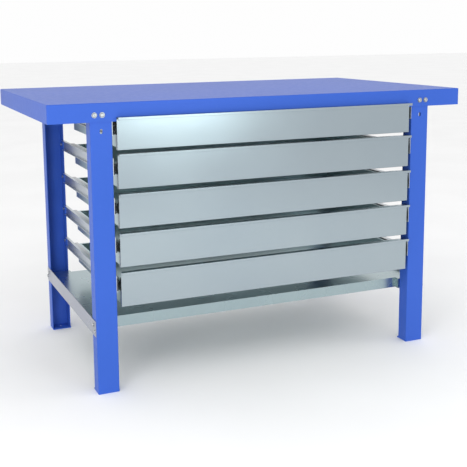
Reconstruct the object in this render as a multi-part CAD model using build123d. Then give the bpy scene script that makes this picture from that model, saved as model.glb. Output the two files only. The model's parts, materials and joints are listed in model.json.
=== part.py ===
from build123d import *
import os

os.makedirs("parts", exist_ok=True)

# Workbench with a folded steel top, four channel legs, a galvanised shelf and
# five full-width drawers on three-member telescopic slides.
# Millimetres, +X to the right seen from the front, +Y to the back, +Z up.

# ---- overall ----
HEIGHT = 870.0          # floor to working surface
TOP_LENGTH = 1400.0     # X
TOP_DEPTH = 800.0       # Y
TOP_EDGE = 55.0         # height of the folded edge of the top
TOP_SHEET = 2.0
TOP_BEND_R = 3.0
CORE_THICK = 18.0
HEM_WIDTH = 18.0        # inward hem at the bottom of the side and back edges

# ---- legs (Y is counted from the front face of the front legs) ----
LEG_OUT_X = 578.0       # outer face of the legs
LEG_W = 65.0
LEG_D = 45.0
LEG_SHEET = 2.5
LEG_BEND_R = 3.0
FRAME_DEPTH = 680.0     # front face of front legs to back face of back legs
PLATE_T = 3.0
PLATE_D = 54.0
ANCHOR_R = 6.0
ANCHOR_Y = 24.0
SLOT_W = 8.0
SLOT_H = 14.0
SLOT_Z = 788.0

# ---- bearers between the leg heads ----
BEARER_T = 2.5
BEARER_DROP = 25.0

# ---- drawers ----
DRAWERS = 5
SLIDE_Z = [791.0, 674.0, 557.0, 440.0, 323.0]   # slide centre heights, top drawer first
FACE_BELOW = [60.0, 57.0, 57.0, 57.0, 60.0]     # face bottom below the slide centre
FACE_ABOVE = [37.0, 48.0, 48.0, 48.0, 48.0]     # face top above the slide centre
FACE_HALF = 500.0
FACE_Y = -4.2           # front surface of the faces
SHEET = 1.2
LIP_REACH = 18.0        # grip lip ahead of the face
LIP_HEM = 8.0
RETURN = 12.0
TRAY_BELOW = 52.0
TRAY_ABOVE = 14.0
TRAY_BACK_Y = 527.0
TRAY_HEM = 8.0

# ---- slides, 35 mm high, 12.7 mm thick ----
SLIDE_Y0 = 30.0
SLIDE_Y1 = 530.0
SLIDE_T = 1.2

# ---- drawer rails ----
RAIL_T = 1.5
RAIL_H = 34.0
RAIL_FLANGE = 8.0
RAIL_TAB = 18.0

# ---- shelf ----
SHELF_RAIL_T = 2.0
SHELF_RAIL_Z0 = 178.0
SHELF_RAIL_Z1 = 226.0
SHELF_LEDGE = 25.0
SHELF_TOP_Z = 214.0
SHELF_STEP_X = 508.0    # the middle of the shelf is set back between the legs
SHELF_STEP_Y = 65.0

# ---- derived ----
LEG_IN_X = LEG_OUT_X - LEG_W
REAR_Y0 = FRAME_DEPTH - LEG_D
TOP_Y0 = -TOP_SHEET
TOP_Y1 = TOP_Y0 + TOP_DEPTH
TOP_Z0 = HEIGHT - TOP_EDGE
CORE_Z1 = HEIGHT - TOP_SHEET
CORE_Z0 = CORE_Z1 - CORE_THICK
LEG_Z1 = CORE_Z0 - BEARER_T
FRONT_MOST = FACE_Y - LIP_REACH
Y_MID = (FRONT_MOST + TOP_Y1) / 2.0     # middle of the whole depth
TRAY_HALF = LEG_IN_X - RAIL_T - 12.7    # outer face of the drawer sides
LEG_MID_X = LEG_OUT_X - LEG_W / 2.0


def bx(x0, x1, y0, y1, z0, z1):
    return Pos((x0 + x1) / 2, (y0 + y1) / 2, (z0 + z1) / 2) * Box(abs(x1 - x0), abs(y1 - y0), abs(z1 - z0))


def cyl(axis, a0, a1, u, v, r):
    # axis "x": u = y, v = z ; axis "y": u = x, v = z ; axis "z": u = x, v = y
    c = Cylinder(r, abs(a1 - a0))
    m = (a0 + a1) / 2
    if axis == "x":
        return Pos(m, u, v) * (Rot(0, 90, 0) * c)
    if axis == "y":
        return Pos(u, m, v) * (Rot(90, 0, 0) * c)
    return Pos(u, v, m) * c


def hexa(axis, a0, a1, u, v, across, bore=0.0):
    h = extrude(RegularPolygon(across / 2, 6, major_radius=False), abs(a1 - a0) / 2, both=True)
    m = (a0 + a1) / 2
    if axis == "x":
        s = Pos(m, u, v) * (Rot(0, 90, 0) * h)
    elif axis == "y":
        s = Pos(u, m, v) * (Rot(90, 0, 0) * h)
    else:
        s = Pos(u, v, m) * h
    if bore:
        s = s - cyl(axis, a0 - 1, a1 + 1, u, v, bore)
    return s


def mirror_x(shape):
    return mirror(shape, about=Plane.YZ)


def solids_of(shape):
    return list(shape.solids())


def put(shape, name):
    shape = Pos(0, -Y_MID, 0) * shape
    export_step(shape, "parts/" + name + ".step")


def put_group(shapes, name):
    parts = []
    for s in shapes:
        parts += solids_of(s)
    put(Compound(children=parts), name)


# ---------------------------------------------------------------- top
pan = bx(-TOP_LENGTH / 2, TOP_LENGTH / 2, TOP_Y0, TOP_Y1, TOP_Z0, HEIGHT)
pan = fillet(pan.edges().filter_by(Axis.Z) + pan.faces().sort_by(Axis.Z)[-1].edges(), TOP_BEND_R)
hollow = bx(-TOP_LENGTH / 2 + TOP_SHEET, TOP_LENGTH / 2 - TOP_SHEET, TOP_Y0 + TOP_SHEET, TOP_Y1 - TOP_SHEET,
            TOP_Z0 - 1, CORE_Z1)
hollow = fillet(hollow.edges().filter_by(Axis.Z) + hollow.faces().sort_by(Axis.Z)[-1].edges(),
                TOP_BEND_R - TOP_SHEET)
pan = pan - hollow
hem_x = TOP_LENGTH / 2 - TOP_SHEET - 0.5
for s in (-1, 1):
    pan = pan + bx(s * (hem_x - HEM_WIDTH), s * (TOP_LENGTH / 2 - 1.0), 20, TOP_Y1 - TOP_SHEET - 1,
                   TOP_Z0, TOP_Z0 + TOP_SHEET)
pan = pan + bx(-hem_x, hem_x, TOP_Y1 - TOP_SHEET - HEM_WIDTH, TOP_Y1 - 1.0, TOP_Z0, TOP_Z0 + TOP_SHEET)
BAND_BOLT_Z = 835.5
BAND_BOLT_X = [542.0, 565.0]
for s in (-1, 1):
    for x in BAND_BOLT_X:
        pan = pan - cyl("y", TOP_Y0 - 2, 1.0, s * x, BAND_BOLT_Z, 4.5)
put(pan, "top_pan")

core = bx(-TOP_LENGTH / 2 + TOP_SHEET + 1, TOP_LENGTH / 2 - TOP_SHEET - 1, 1.0, TOP_Y1 - TOP_SHEET - 1,
          CORE_Z0, CORE_Z1)
SCREW_Y = [110.0, 250.0, 430.0, 570.0, 740.0]
for s in (-1, 1):
    for y in SCREW_Y:
        core = core - cyl("z", CORE_Z0 - 1, CORE_Z0 + 14, s * LEG_MID_X, y, 2.2)
put(core, "top_core_board")

# ---------------------------------------------------------------- bearers
def bearer():
    b = bx(LEG_IN_X, LEG_OUT_X, 1.0, TOP_Y1 - TOP_SHEET - 1.0, LEG_Z1, CORE_Z0)
    for y0, y1 in ((LEG_D + 2, REAR_Y0 - 2), (FRAME_DEPTH + 2, TOP_Y1 - TOP_SHEET - HEM_WIDTH - 3)):
        b = b + bx(LEG_IN_X, LEG_IN_X + BEARER_T, y0, y1, LEG_Z1 - BEARER_DROP, LEG_Z1)
        b = b + bx(LEG_OUT_X - BEARER_T, LEG_OUT_X, y0, y1, LEG_Z1 - BEARER_DROP, LEG_Z1)
    for y in SCREW_Y:
        b = b - cyl("z", LEG_Z1 - 1, CORE_Z0 + 1, LEG_MID_X, y, 2.6)
    return b


right_bearer = bearer()
put(right_bearer, "top_bearer_right")
put(mirror_x(right_bearer), "top_bearer_left")

screws = []
for s in (-1, 1):
    for y in SCREW_Y:
        screws.append(cyl("z", LEG_Z1 - 2.4, LEG_Z1, s * LEG_MID_X, y, 4.5)
                      + cyl("z", LEG_Z1, CORE_Z0 + 12, s * LEG_MID_X, y, 2.0))
put_group(screws, "top_screws")

# ---------------------------------------------------------------- legs
RAIL_BOLT_Y_FRONT = 20.0
RAIL_BOLT_Y_REAR = FRAME_DEPTH - 23.0
RAIL_BOLT_UP = RAIL_H / 2 + 9.0
SHELF_BOLTS = [(12.0, 194.0), (28.0, 210.0)]    # Y from the leg face, Z


def channel_leg():
    # right-hand front leg: web to the front, open to the back
    leg = bx(LEG_IN_X, LEG_OUT_X, 0, LEG_D, PLATE_T, LEG_Z1)
    front_edges = leg.edges().filter_by(Axis.Z).sort_by(Axis.Y)[:2]
    leg = fillet(front_edges, LEG_BEND_R)
    leg = leg - bx(LEG_IN_X + LEG_SHEET, LEG_OUT_X - LEG_SHEET, LEG_SHEET, LEG_D + 1, PLATE_T - 1, LEG_Z1 + 1)
    half = (SLOT_H - SLOT_W) / 2
    leg = leg - bx(LEG_MID_X - SLOT_W / 2, LEG_MID_X + SLOT_W / 2, -1, LEG_SHEET + 1, SLOT_Z - half, SLOT_Z + half)
    for dz in (-half, half):
        leg = leg - cyl("y", -1, LEG_SHEET + 1, LEG_MID_X, SLOT_Z + dz, SLOT_W / 2)
    for y, z in SHELF_BOLTS:
        leg = leg - cyl("x", LEG_OUT_X - LEG_SHEET - 1, LEG_OUT_X + 1, y, z, 3.3)
    return leg


def rear_of(shape):
    # front piece turned into the back one: mirrored about the middle of the frame
    return Pos(0, FRAME_DEPTH, 0) * mirror(shape, about=Plane.XZ)


front_leg = channel_leg()
rear_leg = rear_of(front_leg)
for x in BAND_BOLT_X:
    front_leg = front_leg - cyl("y", -1, LEG_SHEET + 1, x, BAND_BOLT_Z, 4.5)
for zc in SLIDE_Z:
    front_leg = front_leg - cyl("x", LEG_IN_X - 1, LEG_IN_X + LEG_SHEET + 1, RAIL_BOLT_Y_FRONT, zc + RAIL_BOLT_UP, 3.3)
    rear_leg = rear_leg - cyl("x", LEG_IN_X - 1, LEG_IN_X + LEG_SHEET + 1, RAIL_BOLT_Y_REAR, zc, 3.3)
put(front_leg, "leg_front_right")
put(mirror_x(front_leg), "leg_front_left")
put(rear_leg, "leg_rear_right")
put(mirror_x(rear_leg), "leg_rear_left")

plate = bx(LEG_IN_X, LEG_OUT_X, 0, PLATE_D, 0, PLATE_T)
plate = fillet(plate.edges().filter_by(Axis.Z), 2.0)
plate = plate - cyl("z", -1, PLATE_T + 1, LEG_MID_X, ANCHOR_Y, ANCHOR_R)
rear_plate = rear_of(plate)
put(plate, "foot_plate_front_right")
put(mirror_x(plate), "foot_plate_front_left")
put(rear_plate, "foot_plate_rear_right")
put(mirror_x(rear_plate), "foot_plate_rear_left")

# ---------------------------------------------------------------- bolts of the front edge
bolts, nuts = [], []
for s in (-1, 1):
    for x in BAND_BOLT_X:
        head = cyl("y", TOP_Y0 - 1.5, TOP_Y0, s * x, BAND_BOLT_Z, 8.0) \
            + cyl("y", TOP_Y0 - 5.5, TOP_Y0 - 1.5, s * x, BAND_BOLT_Z, 6.5)
        head = fillet(head.edges().filter_by(GeomType.CIRCLE).sort_by(Axis.Y)[0], 2.5)
        bolts.append(head + cyl("y", TOP_Y0, 14.0, s * x, BAND_BOLT_Z, 4.0))
        nuts.append(hexa("y", LEG_SHEET, LEG_SHEET + 6.5, s * x, BAND_BOLT_Z, 13.0, 4.1))
put_group(bolts, "edge_bolts")

# ---------------------------------------------------------------- drawer rails
def rail(zc):
    r = bx(LEG_IN_X - RAIL_T, LEG_IN_X, 2, FRAME_DEPTH - 2, zc - RAIL_H / 2, zc + RAIL_H / 2)
    r = r + bx(LEG_IN_X - RAIL_T, LEG_IN_X, 2, 42, zc + RAIL_H / 2, zc + RAIL_H / 2 + RAIL_TAB)
    for z0, z1 in ((zc + RAIL_H / 2 - RAIL_T, zc + RAIL_H / 2), (zc - RAIL_H / 2, zc - RAIL_H / 2 + RAIL_T)):
        r = r + bx(LEG_IN_X, LEG_IN_X + RAIL_FLANGE, LEG_D + 2, REAR_Y0 - 2, z0, z1)
    r = r - cyl("x", LEG_IN_X - RAIL_T - 1, LEG_IN_X + 1, RAIL_BOLT_Y_FRONT, zc + RAIL_BOLT_UP, 3.3)
    r = r - cyl("x", LEG_IN_X - RAIL_T - 1, LEG_IN_X + 1, RAIL_BOLT_Y_REAR, zc, 3.3)
    return r


rail_bolts, rail_nuts = [], []
for i, zc in enumerate(SLIDE_Z, 1):
    r = rail(zc)
    put(r, "drawer_rail_right_%d" % i)
    put(mirror_x(r), "drawer_rail_left_%d" % i)
    for y, z in ((RAIL_BOLT_Y_FRONT, zc + RAIL_BOLT_UP), (RAIL_BOLT_Y_REAR, zc)):
        x_in = LEG_IN_X - RAIL_T
        x_out = LEG_IN_X + LEG_SHEET
        b = cyl("x", x_out, x_out + 4.0, y, z, 5.5) + cyl("x", x_in - 5.5, x_out, y, z, 3.0)
        n = hexa("x", x_in - 5.0, x_in, y, z, 10.0, 3.1)
        rail_bolts += [b, mirror_x(b)]
        rail_nuts += [n, mirror_x(n)]

# ---------------------------------------------------------------- shelf
def shelf_rail():
    r = bx(LEG_OUT_X, LEG_OUT_X + SHELF_RAIL_T, 5, FRAME_DEPTH - 5, SHELF_RAIL_Z0, SHELF_RAIL_Z1)
    r = r + bx(LEG_OUT_X - SHELF_LEDGE, LEG_OUT_X, LEG_D + 2, REAR_Y0 - 2, SHELF_RAIL_Z0,
               SHELF_RAIL_Z0 + SHELF_RAIL_T)
    for y, z in SHELF_BOLTS:
        for yy in (y, FRAME_DEPTH - y):
            r = r - cyl("x", LEG_OUT_X - 1, LEG_OUT_X + SHELF_RAIL_T + 1, yy, z, 3.3)
    return r


right_shelf_rail = shelf_rail()
put(right_shelf_rail, "shelf_rail_right")
put(mirror_x(right_shelf_rail), "shelf_rail_left")

SHELF_Z0 = SHELF_RAIL_Z0 + SHELF_RAIL_T
SHELF_HALF = LEG_OUT_X - 0.5
ey0, ey1 = LEG_D + 2, REAR_Y0 - 2
my0, my1 = SHELF_STEP_Y, FRAME_DEPTH - SHELF_STEP_Y
shelf = bx(-SHELF_HALF, SHELF_HALF, my0, my1, SHELF_Z0, SHELF_TOP_Z)
hollow = bx(-SHELF_HALF + SHEET, SHELF_HALF - SHEET, my0 + SHEET, my1 - SHEET, SHELF_Z0 - 1, SHELF_TOP_Z - SHEET)
for s in (-1, 1):
    shelf = shelf + bx(s * SHELF_STEP_X, s * SHELF_HALF, ey0, ey1, SHELF_Z0, SHELF_TOP_Z)
    hollow = hollow + bx(s * (SHELF_STEP_X + SHEET), s * (SHELF_HALF - SHEET), ey0 + SHEET, ey1 - SHEET,
                         SHELF_Z0 - 1, SHELF_TOP_Z - SHEET)
shelf = shelf - hollow
put(shelf, "shelf_tray")

rib_y = FRAME_DEPTH / 2
rz1 = SHELF_TOP_Z - SHEET
rib = bx(-540, 540, rib_y - 37, rib_y - 20, rz1 - 1.5, rz1) + bx(-540, 540, rib_y + 20, rib_y + 37, rz1 - 1.5, rz1)
rib = rib + bx(-540, 540, rib_y - 21.5, rib_y - 20, rz1 - 26, rz1) + bx(-540, 540, rib_y + 20, rib_y + 21.5, rz1 - 26, rz1)
rib = rib + bx(-540, 540, rib_y - 21.5, rib_y + 21.5, rz1 - 27.5, rz1 - 26)
put(rib, "shelf_stiffener")

shelf_bolts, shelf_nuts = [], []
for y, z in SHELF_BOLTS:
    for yy in (y, FRAME_DEPTH - y):
        x_out = LEG_OUT_X + SHELF_RAIL_T
        x_in = LEG_OUT_X - LEG_SHEET
        b = cyl("x", x_out, x_out + 3.6, yy, z, 5.5)
        b = fillet(b.edges().filter_by(GeomType.CIRCLE).sort_by(Axis.X)[-1], 1.5)
        b = b + cyl("x", x_in - 6.0, x_out, yy, z, 3.0)
        n = hexa("x", x_in - 5.0, x_in, yy, z, 10.0, 3.1)
        shelf_bolts += [b, mirror_x(b)]
        shelf_nuts += [n, mirror_x(n)]
put_group(rail_bolts + shelf_bolts, "m6_bolts")
put_group(nuts + rail_nuts + shelf_nuts, "nuts")

# ---------------------------------------------------------------- drawers and slides
def c_section(x_web0, x_web1, x_tip, y0, y1, zc, half, t):
    # web between x_web0 and x_web1, flanges from the web to x_tip
    s = bx(x_web0, x_web1, y0, y1, zc - half, zc + half)
    lo, hi = (x_tip, x_web0) if x_tip < x_web0 else (x_web1, x_tip)
    s = s + bx(lo, hi, y0, y1, zc + half - t, zc + half)
    s = s + bx(lo, hi, y0, y1, zc - half, zc - half + t)
    return s


for i, zc in enumerate(SLIDE_Z, 1):
    x_rail = LEG_IN_X - RAIL_T
    outer = c_section(x_rail - SLIDE_T, x_rail, TRAY_HALF + 1.5, SLIDE_Y0, SLIDE_Y1, zc, 17.5, SLIDE_T)
    x_mid = x_rail - SLIDE_T - 0.8
    middle = c_section(x_mid - SLIDE_T, x_mid, TRAY_HALF + 2.0, SLIDE_Y0 + 1, SLIDE_Y1 - 1, zc, 14.3, SLIDE_T)
    inner = c_section(TRAY_HALF, TRAY_HALF + SLIDE_T, x_mid - SLIDE_T - 1.0, SLIDE_Y0, TRAY_BACK_Y - 2, zc, 11.0,
                      SLIDE_T)
    put_group([outer, mirror_x(outer)], "slide_outer_%d" % i)
    put_group([middle, mirror_x(middle)], "slide_middle_%d" % i)
    put_group([inner, mirror_x(inner)], "slide_inner_%d" % i)

    # open tray: floor, two sides, back and front wall, with hemmed top edges
    z0, z1 = zc - TRAY_BELOW, zc + TRAY_ABOVE
    y0, y1 = FACE_Y + SHEET, TRAY_BACK_Y
    tray = bx(-TRAY_HALF, TRAY_HALF, y0, y1, z0, z1) - bx(-TRAY_HALF + SHEET, TRAY_HALF - SHEET, y0 + SHEET,
                                                         y1 - SHEET, z0 + SHEET, z1 + 1)
    for s in (-1, 1):
        tray = tray + bx(s * (TRAY_HALF - SHEET - TRAY_HEM), s * (TRAY_HALF - SHEET), y0 + SHEET, y1 - SHEET,
                         z1 - SHEET, z1)
    tray = tray + bx(-TRAY_HALF + SHEET, TRAY_HALF - SHEET, y1 - SHEET - TRAY_HEM, y1 - SHEET, z1 - SHEET, z1)
    put(tray, "drawer_tray_%d" % i)

    # folded front: face, grip lip along the top, side and bottom returns
    fb, ft = zc - FACE_BELOW[i - 1], zc + FACE_ABOVE[i - 1]
    yf = FACE_Y
    front = bx(-FACE_HALF, FACE_HALF, yf, yf + SHEET, fb, ft)
    front = front + bx(-FACE_HALF, FACE_HALF, yf - LIP_REACH, yf, ft - SHEET, ft)
    front = front + bx(-FACE_HALF, FACE_HALF, yf - LIP_REACH, yf - LIP_REACH + SHEET, ft - LIP_HEM, ft - SHEET)
    front = front + bx(-FACE_HALF, FACE_HALF, yf - LIP_REACH + SHEET, yf - LIP_REACH + 4.0, ft - LIP_HEM,
                       ft - LIP_HEM + SHEET)
    for s in (-1, 1):
        front = front + bx(s * (FACE_HALF - SHEET), s * FACE_HALF, yf + SHEET, yf + SHEET + RETURN, fb, ft - 20)
    front = front + bx(-FACE_HALF + SHEET, FACE_HALF - SHEET, yf + SHEET, yf + SHEET + RETURN, fb, fb + SHEET)
    # outer bends of the folds along the lip and the bottom edge
    bends = front.edges().filter_by(Axis.X).filter_by(lambda e: e.length > 2 * FACE_HALF - 1)
    bends = [e for e in bends if (abs(e.center().Y - (yf - LIP_REACH)) < 0.01
                                  and min(abs(e.center().Z - ft), abs(e.center().Z - ft + LIP_HEM)) < 0.01)
             or (abs(e.center().Y - yf) < 0.01 and abs(e.center().Z - fb) < 0.01)]
    front = fillet(bends, 1.1)
    put(front, "drawer_front_%d" % i)

    # fixed plastic buffers at the front ends of the inner members: their lobes
    # come up to the ends of the outer and middle members as the drawer shuts
    xl = TRAY_HALF + SLIDE_T
    buffer = bx(xl, xl + 4.5, 20, 45, zc - 7, zc + 7)
    for k in (-1, 1):
        lobe = bx(xl + 2.5, xl + 9, 20, 29.6, zc + k * 5, zc + k * 17)
        lobe = fillet(lobe.edges().filter_by(Axis.Y), 2.0)
        buffer = buffer + lobe
    put_group([buffer, mirror_x(buffer)], "slide_buffer_%d" % i)

print("nodes", len(os.listdir("parts")))
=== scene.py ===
import bpy, bmesh, json, math
from mathutils import Matrix, Vector


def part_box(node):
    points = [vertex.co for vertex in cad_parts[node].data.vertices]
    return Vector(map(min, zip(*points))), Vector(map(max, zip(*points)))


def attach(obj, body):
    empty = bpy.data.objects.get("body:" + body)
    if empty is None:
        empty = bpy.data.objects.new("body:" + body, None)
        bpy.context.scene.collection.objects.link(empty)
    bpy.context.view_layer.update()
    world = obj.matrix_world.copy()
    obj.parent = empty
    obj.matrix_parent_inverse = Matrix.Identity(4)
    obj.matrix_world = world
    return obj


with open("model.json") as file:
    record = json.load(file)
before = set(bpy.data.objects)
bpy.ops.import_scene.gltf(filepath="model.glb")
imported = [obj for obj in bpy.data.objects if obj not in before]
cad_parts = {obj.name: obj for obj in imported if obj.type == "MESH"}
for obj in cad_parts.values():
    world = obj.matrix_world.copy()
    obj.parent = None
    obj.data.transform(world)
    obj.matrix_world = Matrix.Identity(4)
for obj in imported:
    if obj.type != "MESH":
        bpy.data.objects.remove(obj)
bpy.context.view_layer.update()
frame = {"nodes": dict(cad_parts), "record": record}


# ------------------------------------------------------------ node helpers
class Mat:
    def __init__(self, name):
        self.m = bpy.data.materials.new(name)
        self.m.use_nodes = True
        self.t = self.m.node_tree
        self.b = self.t.nodes["Principled BSDF"]
        self.co = self.t.nodes.new("ShaderNodeTexCoord").outputs["Object"]

    def node(self, kind, **props):
        n = self.t.nodes.new(kind)
        for k, v in props.items():
            setattr(n, k, v)
        return n

    def link(self, a, b):
        self.t.links.new(a, b)

    def mapping(self, scale=(1, 1, 1)):
        n = self.node("ShaderNodeMapping")
        n.inputs["Scale"].default_value = scale
        self.link(self.co, n.inputs["Vector"])
        return n.outputs["Vector"]

    def noise(self, scale, detail=3.0, rough=0.5, vec=None):
        n = self.node("ShaderNodeTexNoise")
        n.inputs["Scale"].default_value = scale
        n.inputs["Detail"].default_value = detail
        n.inputs["Roughness"].default_value = rough
        self.link(vec if vec is not None else self.co, n.inputs["Vector"])
        return n.outputs["Fac"]

    def voronoi(self, scale, vec=None):
        n = self.node("ShaderNodeTexVoronoi")
        n.inputs["Scale"].default_value = scale
        self.link(vec if vec is not None else self.co, n.inputs["Vector"])
        sep = self.node("ShaderNodeSeparateColor")
        self.link(n.outputs["Color"], sep.inputs["Color"])
        return sep.outputs[0]

    def ramp(self, fac, stops):
        n = self.node("ShaderNodeValToRGB")
        e = n.color_ramp.elements
        while len(e) < len(stops):
            e.new(0.5)
        for el, (p, c) in zip(e, stops):
            el.position = p
            el.color = c if len(c) == 4 else (*c, 1)
        self.link(fac, n.inputs["Fac"])
        return n.outputs["Color"]

    def span(self, fac, a, b, lo=0.3, hi=0.7):
        n = self.node("ShaderNodeMapRange")
        n.inputs["From Min"].default_value = lo
        n.inputs["From Max"].default_value = hi
        n.inputs["To Min"].default_value = a
        n.inputs["To Max"].default_value = b
        self.link(fac, n.inputs["Value"])
        return n.outputs["Result"]

    def mix(self, fac, a, b, mode="MIX"):
        n = self.node("ShaderNodeMix", data_type="RGBA", blend_type=mode)
        if isinstance(fac, (int, float)):
            n.inputs[0].default_value = fac
        else:
            self.link(fac, n.inputs[0])
        for sock, v in ((n.inputs[6], a), (n.inputs[7], b)):
            if isinstance(v, tuple):
                sock.default_value = (*v, 1)
            else:
                self.link(v, sock)
        return n.outputs[2]

    def bump(self, height, strength, distance, under=None):
        n = self.node("ShaderNodeBump")
        n.inputs["Strength"].default_value = strength
        n.inputs["Distance"].default_value = distance
        self.link(height, n.inputs["Height"])
        if under is not None:
            self.link(under, n.inputs["Normal"])
        return n.outputs["Normal"]


def blue_paint():
    m = Mat("blue_powder_coat")
    base = m.ramp(m.noise(2.2, 4.0), [(0.3, (0.034, 0.104, 0.480)), (0.7, (0.040, 0.114, 0.525))])
    fine = m.mix(m.span(m.noise(240.0, 2.0), 0.0, 0.08), base, (0.055, 0.14, 0.56))
    scuff = m.span(m.noise(34.0, 8.0, 0.7), 0.0, 0.22, 0.60, 0.78)
    m.link(m.mix(scuff, fine, (0.065, 0.15, 0.54)), m.b.inputs["Base Color"])
    m.link(m.span(m.noise(60.0, 4.0, 0.6), 0.36, 0.42), m.b.inputs["Roughness"])
    m.b.inputs["Coat Weight"].default_value = 0.02
    m.b.inputs["Specular IOR Level"].default_value = 0.15
    m.b.inputs["Coat Roughness"].default_value = 0.22
    peel = m.bump(m.noise(520.0, 2.0), 0.10, 0.0006)
    m.link(peel, m.b.inputs["Normal"])
    return m.m


def galvanised(name, tint, rough_lo, rough_hi, cell=160.0):
    m = Mat(name)
    v = m.voronoi(cell)
    w = m.voronoi(cell * 2.7)
    spangle = m.mix(0.4, m.ramp(v, [(0.0, tuple(c * 0.97 for c in tint)), (1.0, tint)]),
                    m.ramp(w, [(0.0, tuple(c * 0.96 for c in tint)), (1.0, tuple(min(1, c * 1.03) for c in tint))]))
    cloud = m.ramp(m.noise(2.1, 4.0, 0.5), [(0.35, (0.93, 0.94, 0.96)), (0.65, (1.0, 1.0, 1.0))])
    m.link(m.mix(1.0, spangle, cloud, "MULTIPLY"), m.b.inputs["Base Color"])
    m.b.inputs["Metallic"].default_value = 1.0
    m.link(m.span(m.noise(5.0, 3.0), rough_lo, rough_hi), m.b.inputs["Roughness"])
    streak = m.noise(70.0, 3.0, 0.6, m.mapping((0.25, 6.0, 6.0)))
    m.link(m.bump(streak, 0.035, 0.0006), m.b.inputs["Normal"])
    return m.m


def slide_steel():
    m = Mat("slide_steel")
    s = m.noise(90.0, 4.0, 0.6, m.mapping((8.0, 0.25, 8.0)))
    m.link(m.ramp(s, [(0.3, (0.40, 0.42, 0.44)), (0.7, (0.60, 0.62, 0.64))]), m.b.inputs["Base Color"])
    m.b.inputs["Metallic"].default_value = 1.0
    m.link(m.span(s, 0.28, 0.42), m.b.inputs["Roughness"])
    m.link(m.bump(s, 0.06, 0.0005), m.b.inputs["Normal"])
    return m.m


def zinc():
    m = Mat("zinc_plate")
    n = m.noise(160.0, 4.0)
    m.link(m.ramp(n, [(0.3, (0.36, 0.38, 0.39)), (0.7, (0.52, 0.53, 0.54))]), m.b.inputs["Base Color"])
    m.b.inputs["Metallic"].default_value = 1.0
    m.link(m.span(n, 0.22, 0.38), m.b.inputs["Roughness"])
    m.link(m.bump(m.noise(900.0, 2.0), 0.08, 0.0003), m.b.inputs["Normal"])
    return m.m


def board():
    m = Mat("core_board_chips")
    v = m.voronoi(220.0, m.mapping((1.0, 1.6, 2.0)))
    m.link(m.ramp(v, [(0.0, (0.26, 0.17, 0.09)), (0.5, (0.42, 0.29, 0.16)), (1.0, (0.56, 0.41, 0.25))]),
           m.b.inputs["Base Color"])
    m.b.inputs["Roughness"].default_value = 0.85
    m.link(m.bump(v, 0.3, 0.0008), m.b.inputs["Normal"])
    return m.m


MATS = {"blue_paint": blue_paint(), "galvanised": galvanised("galvanised_sheet", (0.39, 0.45, 0.485), 0.21, 0.26),
        "slide_steel": slide_steel(), "zinc_fasteners": zinc(), "core_board": board()}
def plastic():
    m = Mat("black_plastic")
    n = m.noise(420.0, 3.0)
    m.link(m.ramp(n, [(0.3, (0.012, 0.012, 0.014)), (0.7, (0.022, 0.022, 0.025))]), m.b.inputs["Base Color"])
    m.link(m.span(n, 0.42, 0.56), m.b.inputs["Roughness"])
    m.link(m.bump(n, 0.12, 0.0004), m.b.inputs["Normal"])
    return m.m


MATS["black_plastic"] = plastic()
# painted shade: this copy of the galvanised sheet is tinted darker so it stands in for the lower shelf rails
# getting less light
SHADED_SHELF_SIDE_MAT = galvanised("galvanised_shelf_rails_painted_shade", (0.42, 0.44, 0.50), 0.26, 0.34, 160.0)
# painted reflection: this copy of the galvanised sheet is tinted teal so it stands in for the floor and horizon
# reflected in the drawers
REFLECTION_TINTED_TRAY_MAT = galvanised("galvanised_trays_painted_reflection", (0.46, 0.58, 0.60), 0.28, 0.34, 160.0)
# painted shade and reflection: this copy of the galvanised sheet is tinted darker and teal so it stands in for the
# shelf top in shadow under the drawers
SHADED_SHELF_MAT = galvanised("galvanised_shelf_painted_shade", (0.37, 0.46, 0.48), 0.24, 0.30, 160.0)
# painted highlight: this copy of the galvanised sheet is tinted lighter so it stands in for the rails catching
# light from the left
PAINTED_HIGHLIGHT_RAIL_MAT = galvanised("galvanised_rails_painted_highlight", (0.62, 0.66, 0.69), 0.34, 0.46, 160.0)
slots = {s["node"]: s["material_slot"] for s in frame["record"]["subparts"]}
for name, obj in frame["nodes"].items():
    mat = MATS[slots[name]]
    # painted highlight: drawer rails, shelf stiffeners and top bearers get the lighter galvanised copy
    if name.startswith(("drawer_rail", "shelf_stiffener", "top_bearer")):
        mat = PAINTED_HIGHLIGHT_RAIL_MAT
    # painted reflection: the drawer trays get the teal-tinted galvanised copy
    if name.startswith("drawer_tray"):
        mat = REFLECTION_TINTED_TRAY_MAT
    # painted shade: the shelf tray gets the darker teal galvanised copy
    if name == "shelf_tray":
        mat = SHADED_SHELF_MAT
    # painted shade: the shelf rails get the darker galvanised copy
    if name.startswith("shelf_rail"):
        mat = SHADED_SHELF_SIDE_MAT
    if not obj.material_slots:
        obj.data.materials.append(mat)
    for s in obj.material_slots:
        s.material = mat


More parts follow.
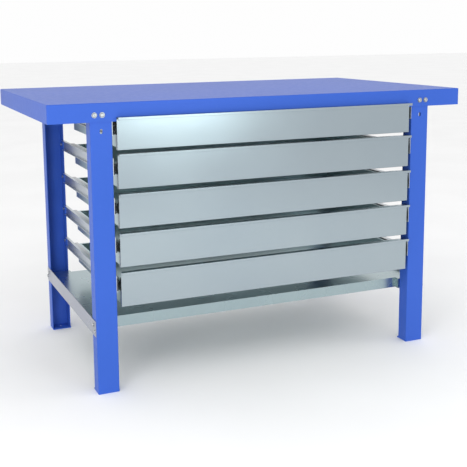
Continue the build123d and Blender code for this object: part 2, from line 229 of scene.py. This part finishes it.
# ------------------------------------------------------------ weld beads at the leg feet
def bead(name, points, radius, mat):
    bm = bmesh.new()
    rings = []
    n = len(points)
    for i, p in enumerate(points):
        p = Vector(p)
        d = (Vector(points[min(i + 1, n - 1)]) - Vector(points[max(i - 1, 0)])).normalized()
        side = d.cross(Vector((0, 0, 1))).normalized()
        up = side.cross(d)
        r = radius * (0.86 + 0.14 * math.cos(i * math.pi)) * (0.55 if i in (0, n - 1) else 1.0)
        rings.append([bm.verts.new(p + r * (side * math.cos(a) + up * math.sin(a)))
                      for a in [2 * math.pi * k / 10 for k in range(10)]])
    for a, b in zip(rings, rings[1:]):
        for k in range(10):
            bm.faces.new((a[k], a[(k + 1) % 10], b[(k + 1) % 10], b[k]))
    bm.faces.new(list(reversed(rings[0])))
    bm.faces.new(rings[-1])
    bmesh.ops.recalc_face_normals(bm, faces=bm.faces)
    me = bpy.data.meshes.new(name)
    bm.to_mesh(me)
    bm.free()
    for poly in me.polygons:
        poly.use_smooth = True
    me.materials.append(mat)
    o = bpy.data.objects.new(name, me)
    bpy.context.scene.collection.objects.link(o)
    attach(o, "bench")
    return o


for side in ("left", "right"):
    for end in ("front", "rear"):
        lo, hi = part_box("leg_%s_%s" % (end, side))
        z = lo[2] + 0.0008
        sheet = 0.0025
        x0, x1 = lo[0] + sheet + 0.001, hi[0] - sheet - 0.001
        y = lo[1] + sheet + 0.0008 if end == "front" else hi[1] - sheet - 0.0008
        pts = [(x0 + (x1 - x0) * k / 24, y, z) for k in range(25)]
        bead("weld_%s_%s" % (end, side), pts, 0.0018, MATS["blue_paint"])

# ------------------------------------------------------------ floor, world, lights
bm = bmesh.new()
bmesh.ops.create_grid(bm, x_segments=4, y_segments=4, size=30)
me = bpy.data.meshes.new("studio_floor")
bm.to_mesh(me)
bm.free()
floor = bpy.data.objects.new("studio_floor", me)
bpy.context.scene.collection.objects.link(floor)
fm = Mat("floor_paper")
fm.link(fm.ramp(fm.noise(1.5), [(0.4, (0.91, 0.91, 0.91)), (0.6, (0.93, 0.93, 0.93))]), fm.b.inputs["Base Color"])
fm.b.inputs["Roughness"].default_value = 0.8
me.materials.append(fm.m)

world = bpy.data.worlds.new("studio")
bpy.context.scene.world = world
world.use_nodes = True
bg = world.node_tree.nodes["Background"]
bg.inputs["Color"].default_value = (1.0, 1.0, 1.0, 1)
bg.inputs["Strength"].default_value = 0.99
bpy.context.scene.view_settings.view_transform = "Standard"


def area(name, loc, target, size, power, color=(1, 1, 1)):
    l = bpy.data.lights.new(name, "AREA")
    l.shape = "RECTANGLE"
    l.size, l.size_y = size
    l.energy = power
    l.color = color
    o = bpy.data.objects.new(name, l)
    o.location = loc
    o.rotation_euler = (Vector(target) - Vector(loc)).to_track_quat("-Z", "Y").to_euler()
    bpy.context.scene.collection.objects.link(o)


area("key", (-1.6, -2.6, 3.4), (0, 0, 0.6), (2.4, 1.6), 22)
area("front_soft", (0.62, -3.1, 0.95), (-0.35, -0.4, 0.75), (0.75, 0.8), 8, (0.86, 1.0, 0.98))
area("right_fill", (3.4, -1.6, 1.6), (0.2, 0, 0.5), (1.4, 2.2), 10, (0.93, 0.95, 1.0))
area("left_edge", (-2.3, -2.3, 0.7), (-0.55, 0.25, 0.4), (1.0, 1.2), 20)
area("front_low", (-0.9, -3.4, 0.8), (-0.5, 0.25, 0.45), (1.4, 1.0), 5)

# ------------------------------------------------------------ camera
cam = bpy.data.cameras.new("view")
cam.sensor_width = 36.0
cam.lens = 66.80
cam.shift_x = 0.0333
cam.shift_y = -0.1342
cam.clip_start = 0.05
cam.clip_end = 100
co = bpy.data.objects.new("view", cam)
bpy.context.scene.collection.objects.link(co)
R = (Matrix.Rotation(-0.397, 3, "Z") @ Matrix.Rotation(-0.159, 3, "X") @ Matrix.Rotation(0.010, 3, "Y"))
right, fwd, up = R.col[0], R.col[1], R.col[2]
m3 = Matrix((right, up, -fwd)).transposed()
co.matrix_world = Matrix.Translation((-1.19007, -2.39559 - 0.3879, 1.0655)) @ m3.to_4x4()
bpy.context.scene.camera = co
